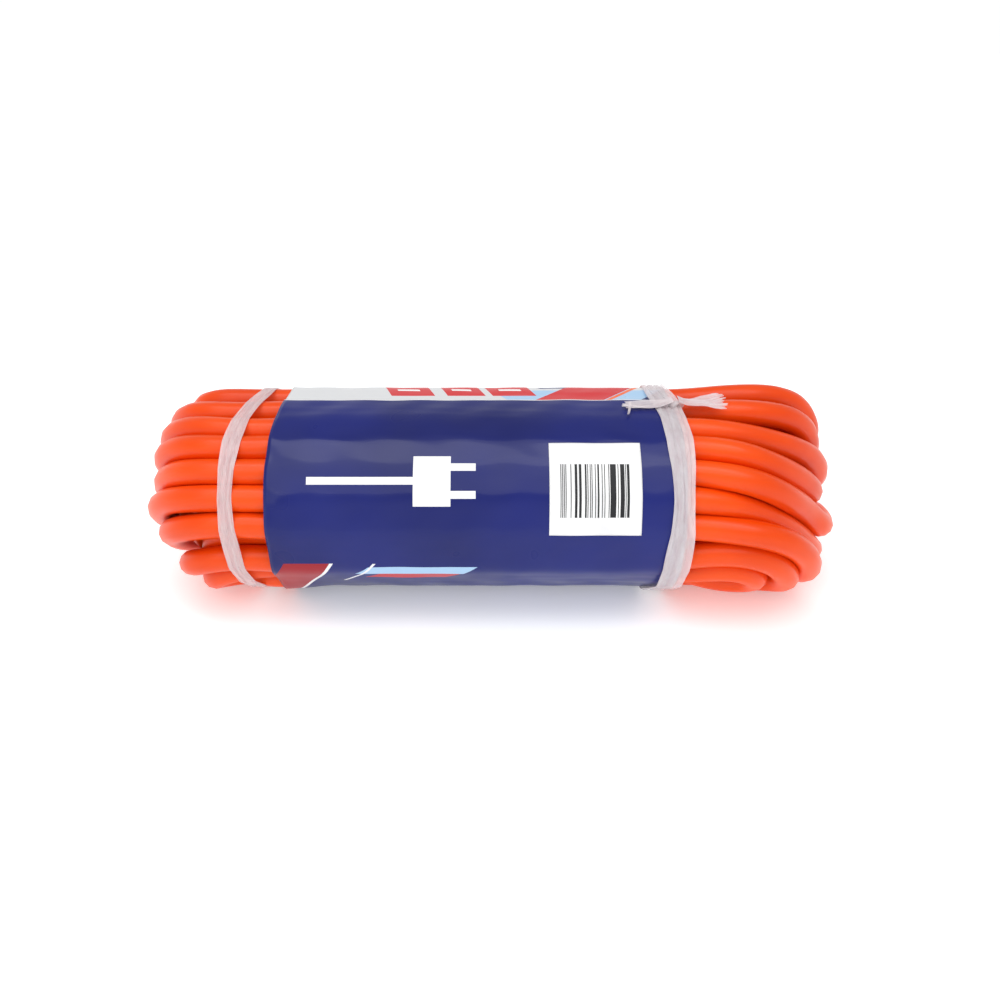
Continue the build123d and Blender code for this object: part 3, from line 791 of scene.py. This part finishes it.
class CordColours(bpy.types.PropertyGroup):
    jacket: FloatVectorProperty(
        name="Jacket", description="The cord's orange", default=linear("#F65206"), size=4, subtype="COLOR"
    )
    jacket_shade: FloatVectorProperty(
        name="Jacket shade", description="Its darker patches", default=linear("#E44404"), size=4,
        subtype="COLOR",
    )
    sleeve: FloatVectorProperty(
        name="Sleeve", description="The sleeve's ground colour", default=linear("#1A2474"), size=4,
        subtype="COLOR",
    )
    tie: FloatVectorProperty(
        name="Tie", description="The film tape's pale streaks", default=linear("#FFFAFB"), size=4,
        subtype="COLOR",
    )


# ---- operators ----
settled = {}                # what settle_hank gave, which every piece round the cord needs


def settled_line():
    """The settled cord's points, worked out once."""
    if not settled:
        settled["line"], settled["route"] = settle_hank()
    return settled["line"]


class CORD_OT_cord(bpy.types.Operator):
    """Lays the whole cord, from the plug through every turn to the connector, as one curve"""

    bl_idname = "cord.cord"
    bl_label = "Lay the cord"

    def execute(self, context):
        diameter = context.scene.cord_sizes.jacket_diameter
        settled.clear()
        line = to_metres(settled_line())
        curve = cord_curve("cord", to_metres(settled["route"]), 3)
        curve.bevel_depth = diameter / 2
        curve.bevel_resolution = 4
        curve.use_fill_caps = True
        cord = bpy.data.objects.new("cord", curve)
        context.scene.collection.objects.link(cord)
        finish_piece(cord, extruded_pvc(), ("cord_hank", "plug_lead", "connector_lead"))
        return {"FINISHED"}


def sheet_length():
    """Once round the bundle and the lap."""
    return 2 * pi * SLEEVE_RADIUS + 4 * HALF_FLAT + LAP_WIDTH


def crease(x, distance):
    """Shallow waves across the card, which the label on it follows."""
    wander = 2.0 * np.sin(distance * 0.11)
    return CREASE_DEPTH * np.sin(x * 0.31 + wander) * np.sin(distance * 0.23 + x * 0.05)


def sheet_reach(x_places, distances, lift):
    """How far the card lies from the axis, at each x and each distance along it from its outer edge.

    It is worked out on a net of places, smoothed as card would bridge the dips, and read in between.
    """
    line = settled_line()
    stations = np.linspace(sleeve_low[0], sleeve_high[0], 40)
    outline = np.linspace(0, sheet_length(), 360)
    directions = bundle_direction(outline + LAP_EDGE, SLEEVE_RADIUS)
    reach = np.array([wrap_reach(line, x, directions, leads=False) for x in stations])
    for _ in range(2):      # along the bundle
        reach[1:-1] = reach[1:-1] / 2 + (reach[:-2] + reach[2:]) / 4
    for _ in range(8):      # and round it, over the dips between the turns
        reach[:, 1:-1] = reach[:, 1:-1] / 2 + (reach[:, :-2] + reach[:, 2:]) / 4
    column = np.interp(x_places, stations, np.arange(len(stations)))
    row = np.interp(distances, outline, np.arange(len(outline)))
    low_column = np.minimum(column.astype(int), len(stations) - 2)
    low_row = np.minimum(row.astype(int), len(outline) - 2)
    a = column - low_column
    b = row - low_row
    between = (
        reach[low_column, low_row] * (1 - a) * (1 - b) + reach[low_column + 1, low_row] * a * (1 - b)
        + reach[low_column, low_row + 1] * (1 - a) * b + reach[low_column + 1, low_row + 1] * a * b
    )
    return between + lift


def on_sheet(x, distance, lift):
    """(x, v, u) of places on the card."""
    reach = sheet_reach(x, distance, lift)
    angle = bundle_direction(distance + LAP_EDGE, SLEEVE_RADIUS)
    return np.column_stack([x, reach * np.cos(angle), reach * np.sin(angle)])


class CORD_OT_sleeve(bpy.types.Operator):
    """Wraps the printed card round the bundle and laps its outer end over its inner end on top"""

    bl_idname = "cord.sleeve"
    bl_label = "Wrap the sleeve"

    def execute(self, context):
        length = sheet_length()
        width = sleeve_high[0] - sleeve_low[0]
        thickness = context.scene.cord_sizes.sleeve_thickness
        dip_start = length - LAP_WIDTH - UNDER_LAP[0]

        def place(u, w):
            x = sleeve_low[0] + u * width
            distance = w * length
            under = ease((distance - dip_start) / UNDER_LAP[1])
            edge = ease(1 - np.minimum(x - sleeve_low[0], sleeve_high[0] - x) / EDGE_WIDTH)
            waves = crease(x, distance) + EDGE_CURL * edge * np.sin(distance * 0.37)
            return on_sheet(x, distance, CARD_LIFT - UNDER_DIP * under + waves * (1 - under))

        piece = grid_sheet("sleeve", 110, 330, place)
        edit_all(bpy.ops.mesh.flip_normals)
        apply_modifier(piece, "SOLIDIFY", thickness=thickness, offset=-1.0)
        bpy.ops.object.shade_smooth()
        finish_piece(piece, coated_card(), ("label_sleeve",))
        return {"FINISHED"}


class CORD_OT_sticker(bpy.types.Operator):
    """Sticks the small white label on the sleeve's front"""

    bl_idname = "cord.sticker"
    bl_label = "Stick the label"

    def execute(self, context):
        top = np.arcsin(np.clip((sticker_high[2] - AXIS_Z) / SLEEVE_RADIUS, -1, 1))
        foot = np.arcsin(np.clip((sticker_low[2] - AXIS_Z) / SLEEVE_RADIUS, -1, 1))
        start = -LAP_EDGE + HALF_FLAT + (pi / 2 - top) * SLEEVE_RADIUS
        end = -LAP_EDGE + HALF_FLAT + (pi / 2 - foot) * SLEEVE_RADIUS

        def place(u, w):
            x = sticker_low[0] + u * (sticker_high[0] - sticker_low[0])
            distance = start + (1 - w) * (end - start)
            return on_sheet(x, distance, STICKER_LIFT + crease(x, distance))

        piece = grid_sheet("sticker", 40, 50, place)
        apply_modifier(piece, "SOLIDIFY", thickness=STICKER_THICKNESS * MM, offset=1.0)
        bpy.ops.object.shade_smooth()
        finish_piece(piece, label_stock(), ("barcode_sticker",))
        return {"FINISHED"}


def tape_band(name, middle_x, bow, width, discs, lift, seed):
    """Film tape pulled tight round the bundle; it bows towards the ends away from the front.

    It narrows and creases unevenly as it goes round.
    """
    angles = np.linspace(0, 2 * pi, 241)
    reach = wrap_reach(settled_line(), middle_x, angles, discs)
    facing = radians(150.0)
    phases = np.random.default_rng(seed).uniform(0, 2 * pi, 6)      # where each waviness starts

    def place(u, w):
        angle = w * 2 * pi
        away = 0.5 - 0.5 * np.cos(angle - facing)
        centre = middle_x + bow * np.minimum(1.0, 1.6 * away)
        narrowing = 1.0 - 0.12 * np.sin(3 * angle + phases[0]) - 0.08 * np.sin(7 * angle + phases[1])
        across = (u - 0.5) * width * narrowing
        # Lengthwise folds, a few broad ones and finer ones on them, that wander across the band.
        fold = 0.22 * np.sin(u * 21 + phases[2] + 1.3 * np.sin(angle * 2 + phases[3]))
        fold += 0.12 * np.sin(u * 37 + phases[4] + 2.0 * np.sin(angle * 3 + phases[5]))
        out = np.interp(angle, angles, reach) + lift + fold
        height = np.maximum(out * np.sin(angle), 0.25 - AXIS_Z)
        return np.column_stack([centre + across, out * np.cos(angle), height])

    piece = grid_sheet(name, 18, 240, place)
    edit_all(bpy.ops.mesh.remove_doubles, threshold=WELD * MM)
    apply_modifier(piece, "SOLIDIFY", thickness=BAND_THICKNESS * MM, offset=1.0)
    return piece


def fit_fibres(piece, start, across, along):
    """Fits a piece's UV map to part of a band's, so that the fibres keep their size on it."""
    layer = piece.data.uv_layers.active.data
    flat = np.empty(len(layer) * 2)
    layer.foreach_get("uv", flat)
    flat = flat.reshape(-1, 2) * (across, along) + (start, start)
    layer.foreach_set("uv", flat.ravel())


def tape_tail(name, root, direction, length, width, end_width, seat, fibres, seed):
    """A loose end of tape as a fan of split fibres of uneven length."""
    chance = np.random.default_rng(seed)
    pieces = []
    heading = np.array(direction) / np.linalg.norm(direction)
    side = np.array([-heading[1], heading[0]])
    for i in range(fibres):
        share = (i + 0.5) / fibres - 0.5
        reach = length * chance.uniform(0.88, 1.0)
        wave = chance.uniform(-0.12, 0.12)
        rise = chance.uniform(0.0, 0.25)
        strip = 1.3 * width / fibres

        def place(u, w):
            spread = width + (end_width - width) * w**1.3
            taper = np.where(w > 0.9, 1.0 - (w - 0.9) * 7.0, 1.0)
            own = (u - 0.5) * strip * (spread / width) * taper
            across = share * spread + own + wave * np.sin(w * 5.0) * w
            x = root[0] + heading[0] * reach * w + side[0] * across
            v = root[1] + heading[1] * reach * w + side[1] * across
            waves = 0.25 * np.sin(w * 7 + share * 5)
            top = seat(x, v) + TAIL_LIFT + waves + rise * w + TAIL_RISE * (1 - w) ** 3
            return np.column_stack([x, v, top])

        piece = grid_sheet(f"{name}_{i}", 3, 22, place)
        fit_fibres(piece, i / fibres, 0.5 / fibres, 0.08)
        apply_modifier(piece, "SOLIDIFY", thickness=TAIL_THICKNESS * MM, offset=0.0)
        pieces.append(piece)
    return pieces


def tape_knot(name, place, size, turned):
    """The lump of an overhand knot: a few turns of tape crushed together."""
    pieces = []
    for i, (across, girth, lean) in enumerate(KNOT_TURNS):
        bpy.ops.object.select_all(action="DESELECT")
        bpy.ops.mesh.primitive_torus_add(
            major_segments=40, minor_segments=14, major_radius=size * 0.27 * girth * MM,
            minor_radius=size * 0.17 * MM, rotation=(radians(90.0), radians(lean), radians(20.0 * i)),
        )
        piece = bpy.context.object
        piece.name = f"{name}_{i}"
        bpy.ops.object.transform_apply(location=True, rotation=True, scale=True)
        chance = np.random.default_rng(i + 3)
        flat = np.empty(len(piece.data.vertices) * 3)
        piece.data.vertices.foreach_get("co", flat)
        flat = flat.reshape(-1, 3) / MM
        flat[:, 2] *= 0.62      # pulled tight
        ripple = np.sin(flat[:, 0] * 4.1 + i) * np.sin(flat[:, 1] * 3.7) * 0.14
        flat += flat / np.maximum(np.linalg.norm(flat, axis=1, keepdims=True), 0.1) * ripple[:, None]
        flat += chance.uniform(-0.05, 0.05, flat.shape)
        flat[:, 0] += across * size
        spun = np.column_stack([
            flat[:, 0],
            flat[:, 1] * cos(turned) + flat[:, 2] * sin(turned),
            -flat[:, 1] * sin(turned) + flat[:, 2] * cos(turned),
        ])
        piece.data.vertices.foreach_set("co", to_metres(spun + np.array(place)).ravel())
        piece.data.update()
        fit_fibres(piece, 0.2 * i, 0.5, 0.1)
        pieces.append(piece)
    return pieces


def finish_tie(side, band, knot, tails, seat, film):
    """Adds the knot and the loose ends to a band, and makes them one piece.

    Each loose end is its name, root, direction, length, width, width at its end, fibres and seed.
    """
    pieces = [band] + tape_knot(f"{side}_knot", *knot)
    for name, root, direction, length, width, end_width, fibres, seed in tails:
        pieces += tape_tail(name, root, direction, length, width, end_width, seat, fibres, seed)
    finish_piece(join_pieces(pieces, f"{side}_tape"), film, (f"{side}_tie",))


def tie_right(film):
    """The wide tape over the sleeve's edge and the plug's head, with its knot and loose ends on top."""
    line = settled_line()
    head_discs = [
        (HEAD_V, HEAD_U + (plug_high[2] - plug_low[2]) / 2 - HEAD_HALF, HEAD_HALF + 0.3),
        (HEAD_V + HEAD_HALF - HEAD_CORNER, plug_low[2] - AXIS_Z + HEAD_CORNER, HEAD_CORNER + 0.2),
    ]
    band = tape_band("right_band", 60.3, -3.5, 8.2, head_discs, 1.5, 10)
    stations = np.arange(20.0, 92.0, 3.0)
    heights = [wrap_reach(line, x, np.array([pi / 2]), leads=False)[0] for x in stations]

    def seat(x, v):
        """The height of what a loose end lies on, over the sleeve and over the spreading turns."""
        return np.interp(x, stations, heights) + 1.2 - 0.004 * np.maximum(abs(v) - HALF_FLAT, 0) ** 2

    v = -4.0
    top = float(seat(61.0, v)) + 0.4
    tails = (
        ("left_end", (60.5, v), (-1.0, 0.03), 17.5, 4.6, 6.4, 8, 11),
        ("right_end", (62.5, v), (1.0, 0.0), 16.5, 4.2, 13.0, 13, 12),
        ("stray", (46.0, v - 2.0), (-0.25, -1.0), 6.0, 0.7, 0.5, 1, 13),
    )
    finish_tie("right", band, ((61.5, v, top), 5.6, 0.0), tails, seat, film)


def tie_left(film):
    """The narrow tape on bare cord, with its knot and loose ends at the back of the top."""
    band = tape_band("left_band", -86.0, 5.0, 5.4, (), 0.35, 9)
    angle = radians(32.0)
    reach = float(wrap_reach(settled_line(), -83.0, np.array([angle]))[0])
    x, v, top = -82.5, reach * cos(angle), reach * sin(angle) + 0.6

    def seat(_, place_v):
        """The height of the back of the bundle's top, which slopes away."""
        return top + 0.8 - (place_v - v) * 1.2

    tails = (
        ("left_short", (x, v), (-1.0, 0.2), 11.0, 2.6, 4.2, 7, 14),
        ("left_other", (x, v), (1.0, 0.3), 9.0, 2.6, 3.8, 7, 15),
    )
    finish_tie("left", band, ((x, v, top), 6.0, radians(58.0)), tails, seat, film)


class CORD_OT_ties(bpy.types.Operator):
    """Ties the film tapes round both ends of the bundle, each with its knot and its split loose ends"""

    bl_idname = "cord.ties"
    bl_label = "Tie the tapes"

    def execute(self, context):
        film = split_film()
        tie_right(film)
        tie_left(film)
        return {"FINISHED"}


class CORD_OT_heads(bpy.types.Operator):
    """Gives the plug, the connector and what is in them their finishes"""

    bl_idname = "cord.heads"
    bl_label = "Finish the plug and connector"

    def execute(self, context):
        brass = metal("nickel_plated_brass", "#B9B2A0", "#DAD5C6", 0.24, 1.2)
        spring = metal("rolled_spring_brass", "#B08A45", "#D0AC66", 0.3, 1.2)
        copper = metal("stranded_copper", "#A85A34", "#C9764A", 0.34, 0.6)
        cores = {
            "line": core_pvc("black_core_pvc", "#0B0B0C", "#161617"),
            "neutral": core_pvc("white_core_pvc", "#DDDDDA", "#EDEDEA"),
            "ground": core_pvc("green_core_pvc", "#0B5A2A", "#12703A"),
        }
        finishes = {"plug_body": moulded_pvc(), "plug_bridge": black_nylon()}
        finishes["connector_body"] = finishes["plug_body"]
        finishes["connector_insert"] = finishes["plug_bridge"]
        for name in ("plug_line_blade", "plug_neutral_blade", "plug_ground_pin"):
            finishes[name] = brass
        for pole, core in cores.items():
            finishes[f"connector_{pole}_contact"] = spring
            for head in ("plug", "connector"):
                finishes[f"{head}_{pole}_core"] = core
                finishes[f"{head}_{pole}_wire"] = copper
        for name, finish in finishes.items():
            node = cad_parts[name]
            node.data.materials.clear()
            node.data.materials.append(finish)
        return {"FINISHED"}


def aimed(direction):
    """The turn that points a lamp or the camera along a direction."""
    return direction.to_track_quat("-Z", "Y").to_euler()


def hang_lamp(name, kind, energy, place, turn, **settings):
    """Adds a light of any kind, with what only that kind has as settings."""
    light = bpy.data.lights.new(name, kind)
    light.energy = energy
    for setting, value in settings.items():
        setattr(light, setting, value)
    lamp = bpy.data.objects.new(name, light)
    lamp.location = place
    lamp.rotation_euler = turn
    bpy.context.scene.collection.objects.link(lamp)


def light_room():
    """A long lamp overhead, a soft one in front, a wide soft sky, and a room paler near its floor."""
    middle = Vector((0.0, 0.0, 0.03))
    for name, width, depth, energy, place in (
        ("overhead", 1.0, 0.2, 1.3, (-0.05, -0.1, 0.75)),
        ("front", 0.5, 0.5, 0.7, (-0.6, -0.8, 0.6)),
    ):
        turn = aimed(middle - Vector(place))
        hang_lamp(name, "AREA", energy, place, turn, shape="RECTANGLE", size=width, size_y=depth)
    hang_lamp("sky", "SUN", 1.25, (0.0, 0.0, 0.0), (radians(20.0), radians(-6.0), 0.0), angle=radians(60.0))
    world = bpy.data.worlds.new("pale_room")
    world.use_nodes = True
    room = world.node_tree
    direction = add(room, "SeparateXYZ", {0: add(room, "TexCoord").outputs["Generated"]})
    strength = add(room, "MapRange", {0: direction.outputs[2], 1: 0.06, 2: 0.5, 3: 1.02, 4: 0.46})
    room.links.new(strength.outputs[0], room.nodes["Background"].inputs["Strength"])
    room.nodes["Background"].inputs["Color"].default_value = (1.0, 1.0, 1.0, 1.0)
    bpy.context.scene.world = world
    bpy.context.scene.view_settings.view_transform = "Standard"


def set_camera():
    """Looks down on the bundle's axis from the front."""
    scene = bpy.context.scene
    up = scene.cord_sizes.camera_height
    towards = Vector((0.0, -cos(up), sin(up)))
    lens = bpy.data.cameras.new("camera")
    lens.sensor_width = 36.0
    lens.lens = 28.7
    lens.shift_x = 0.0055
    lens.shift_y = -0.0140
    lens.clip_start = 0.01
    camera = bpy.data.objects.new("camera", lens)
    camera.location = Vector((0.0, AXIS_Y * MM, AXIS_Z * MM)) + towards * scene.cord_sizes.camera_distance
    camera.rotation_euler = aimed(-towards)
    scene.collection.objects.link(camera)
    scene.camera = camera


class CORD_OT_stage(bpy.types.Operator):
    """Sets the pale floor, the soft light and the camera"""

    bl_idname = "cord.stage"
    bl_label = "Set the stage"

    def execute(self, context):
        bpy.ops.object.select_all(action="DESELECT")
        bpy.ops.mesh.primitive_plane_add(size=12.0)
        floor = context.object
        floor.name = "floor"
        floor.data.materials.append(lit_acrylic())
        light_room()
        set_camera()
        return {"FINISHED"}


class CORD_PT_panel(bpy.types.Panel):
    """The cord's sizes, colours and pieces"""

    bl_idname = "CORD_PT_panel"
    bl_label = "Tied cord"
    bl_space_type = "VIEW_3D"
    bl_region_type = "UI"
    bl_category = "Tied cord"

    def draw(self, context):
        for group in (context.scene.cord_sizes, context.scene.cord_colours):
            for name in group.__annotations__:
                self.layout.prop(group, name)
        for operator in OPERATORS:
            self.layout.operator(operator.bl_idname)


OPERATORS = (CORD_OT_stage, CORD_OT_cord, CORD_OT_sleeve, CORD_OT_sticker, CORD_OT_ties, CORD_OT_heads)
CLASSES = (CordSizes, CordColours) + OPERATORS + (CORD_PT_panel,)


def register():
    for each in CLASSES:
        bpy.utils.register_class(each)
    bpy.types.Scene.cord_sizes = PointerProperty(type=CordSizes)
    bpy.types.Scene.cord_colours = PointerProperty(type=CordColours)


def unregister():
    del bpy.types.Scene.cord_colours
    del bpy.types.Scene.cord_sizes
    for each in reversed(CLASSES):
        bpy.utils.unregister_class(each)


def main():
    register()
    bpy.ops.cord.stage()
    bpy.ops.cord.cord()
    bpy.ops.cord.sleeve()
    bpy.ops.cord.sticker()
    bpy.ops.cord.ties()
    bpy.ops.cord.heads()


if __name__ == "__main__":
    main()
